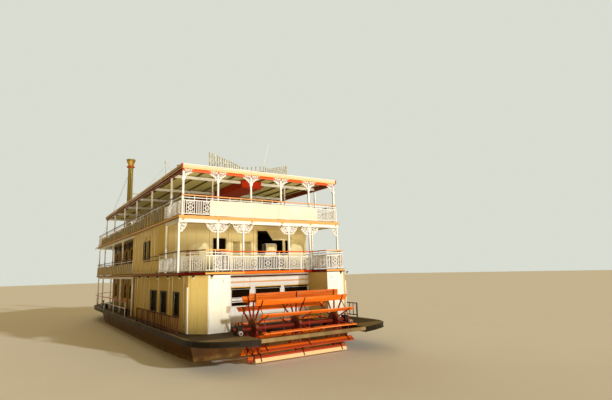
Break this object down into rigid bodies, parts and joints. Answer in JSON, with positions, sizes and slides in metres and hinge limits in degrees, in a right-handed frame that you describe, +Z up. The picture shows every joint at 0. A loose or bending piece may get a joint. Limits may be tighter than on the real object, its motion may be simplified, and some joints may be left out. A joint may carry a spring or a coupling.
{
  "type": "paddle steamer",
  "caption": "Sternwheel passenger steamer with open decks, a canopied upper deck, a red paddle wheel astern, a pilothouse and twin funnels.",
  "frame": {"origin": "on the flat of the hull bottom, on the centreline, 15 m ahead of the stern wings of the second deck", "axes": "+X to starboard, +Y to the bow, +Z up; rests on the flat bottom, waterline at z = 1.2 m"},
  "size_m": [10.84, 36.88, 17.04],
  "materials": {
    "hull_black": "semi-gloss black hull paint",
    "deck_grey": "worn grey non-slip deck paint",
    "wall_cream": "cream gloss paint on steel panels",
    "trim_white": "white gloss paint",
    "edge_red": "red-orange gloss paint on the deck edges",
    "wheel_red": "orange-red paint, worn on the boards",
    "shaft_dark": "dark red paint over greased steel",
    "iron_black": "black paint over castings",
    "funnel_black": "black gloss with gold crown",
    "organ_brass": "dull polished brass",
    "roof_cream": "cream paint, weathered",
    "door_wood": "varnished wood",
    "machine_grey": "grey machinery paint",
    "duct_red": "dark red paint",
    "cloth_white": "plain heavy vinyl-coated cloth",
    "cloth_tan": "tan canvas"
  },
  "bodies": {
    "vessel": {"bow_rail": "trim_white", "canopy_frame": "trim_white", "canopy_roof": "roof_cream", "canopy_stern_frame": "trim_white", "ceiling_duct": "duct_red", "engine_block": "machine_grey", "floodlight": "iron_black", "fore_stair": "deck_grey", "funnels": "funnel_black", "guard_fence_port": "shaft_dark", "guard_fence_starboard": "shaft_dark", "hull": "hull_black", "main_deck": "deck_grey", "main_deck_posts": "trim_white", "main_house_aft_port": "wall_cream", "main_house_aft_starboard": "wall_cream", "main_house_aft_wall": "trim_white", "main_house_fore": "wall_cream", "masthead_pole": "trim_white", "pilothouse": "wall_cream", "pilothouse_roof": "duct_red", "promenade_cloth_port": "cloth_tan", "promenade_cloth_starboard": "cloth_tan", "second_deck": "edge_red", "second_fore_rail_port": "trim_white", "second_fore_rail_starboard": "trim_white", "second_house_aft_wall": "wall_cream", "second_house_corner_port": "wall_cream", "second_house_corner_starboard": "wall_cream", "second_house_fore": "wall_cream", "second_stern_rail": "trim_white", "serving_counter": "trim_white", "steam_organ": "organ_brass", "steering_stand": "door_wood", "stern_banner": "cloth_white", "stern_beam": "deck_grey", "third_deck": "edge_red", "third_deck_posts_fore": "trim_white", "third_deck_posts_stern": "trim_white", "third_rail": "trim_white", "upper_stair": "deck_grey", "weather_cloth_port": "cloth_tan", "weather_cloth_starboard": "cloth_tan", "wheel_bearing_port": "iron_black", "wheel_bearing_starboard": "iron_black", "whip_aerial": "trim_white"},
    "paddle_wheel": {"paddle_wheel": "wheel_red", "wheel_shaft": "shaft_dark"},
    "rudder_port": {"rudder_port": "hull_black"},
    "rudder_starboard": {"rudder_starboard": "hull_black"},
    "main_fore_door": {"main_fore_door": "door_wood"},
    "second_fore_door": {"second_fore_door": "door_wood"},
    "second_aft_door": {"second_aft_door": "wall_cream"},
    "pilot_door": {"pilot_door": "door_wood"},
    "serving_shutter": {"serving_shutter": "wall_cream"},
    "steering_wheel": {"steering_wheel": "door_wood"},
    "capstan": {"capstan": "iron_black"}
  },
  "joints": [
    {"name": "paddle_wheel_turn", "type": "hinge", "parent": "vessel", "child": "paddle_wheel", "pos_m": [0, -16.27, 2.69], "axis": [1, 0, 0], "continuous": true},
    {"name": "rudder_port_turn", "type": "hinge", "parent": "vessel", "child": "rudder_port", "pos_m": [-1.7, -13.7, 0.5], "axis": [0, 0, 1], "range_deg": [-40, 40]},
    {"name": "rudder_starboard_turn", "type": "hinge", "parent": "vessel", "child": "rudder_starboard", "pos_m": [1.7, -13.7, 0.5], "axis": [0, 0, 1], "range_deg": [-40, 40]},
    {"name": "main_fore_door_swing", "type": "hinge", "parent": "vessel", "child": "main_fore_door", "pos_m": [-0.492, 11.592, 3.5], "axis": [0, 0, 1], "range_deg": [0, 100]},
    {"name": "second_fore_door_swing", "type": "hinge", "parent": "vessel", "child": "second_fore_door", "pos_m": [-0.492, 11.592, 6.3], "axis": [0, 0, 1], "range_deg": [0, 100]},
    {"name": "second_aft_door_swing", "type": "hinge", "parent": "vessel", "child": "second_aft_door", "pos_m": [-2.472, -11.492, 6.3], "axis": [0, 0, 1], "range_deg": [-100, 0]},
    {"name": "pilot_door_swing", "type": "hinge", "parent": "vessel", "child": "pilot_door", "pos_m": [-0.392, 10.506, 9.1], "axis": [0, 0, 1], "range_deg": [-100, 0]},
    {"name": "serving_shutter_swing", "type": "hinge", "parent": "vessel", "child": "serving_shutter", "pos_m": [0, -11.53, 7.68], "axis": [1, 0, 0], "range_deg": [-35, 49]},
    {"name": "steering_wheel_turn", "type": "hinge", "parent": "vessel", "child": "steering_wheel", "pos_m": [0, 12.5, 9.065], "axis": [0, 1, 0], "continuous": true},
    {"name": "capstan_turn", "type": "hinge", "parent": "vessel", "child": "capstan", "pos_m": [0, 17.5, 2.8], "axis": [0, 0, 1], "continuous": true}
  ],
  "couplings": [
    {"joint": "rudder_starboard_turn", "follows": "rudder_port_turn", "ratio": 1}
  ]
}
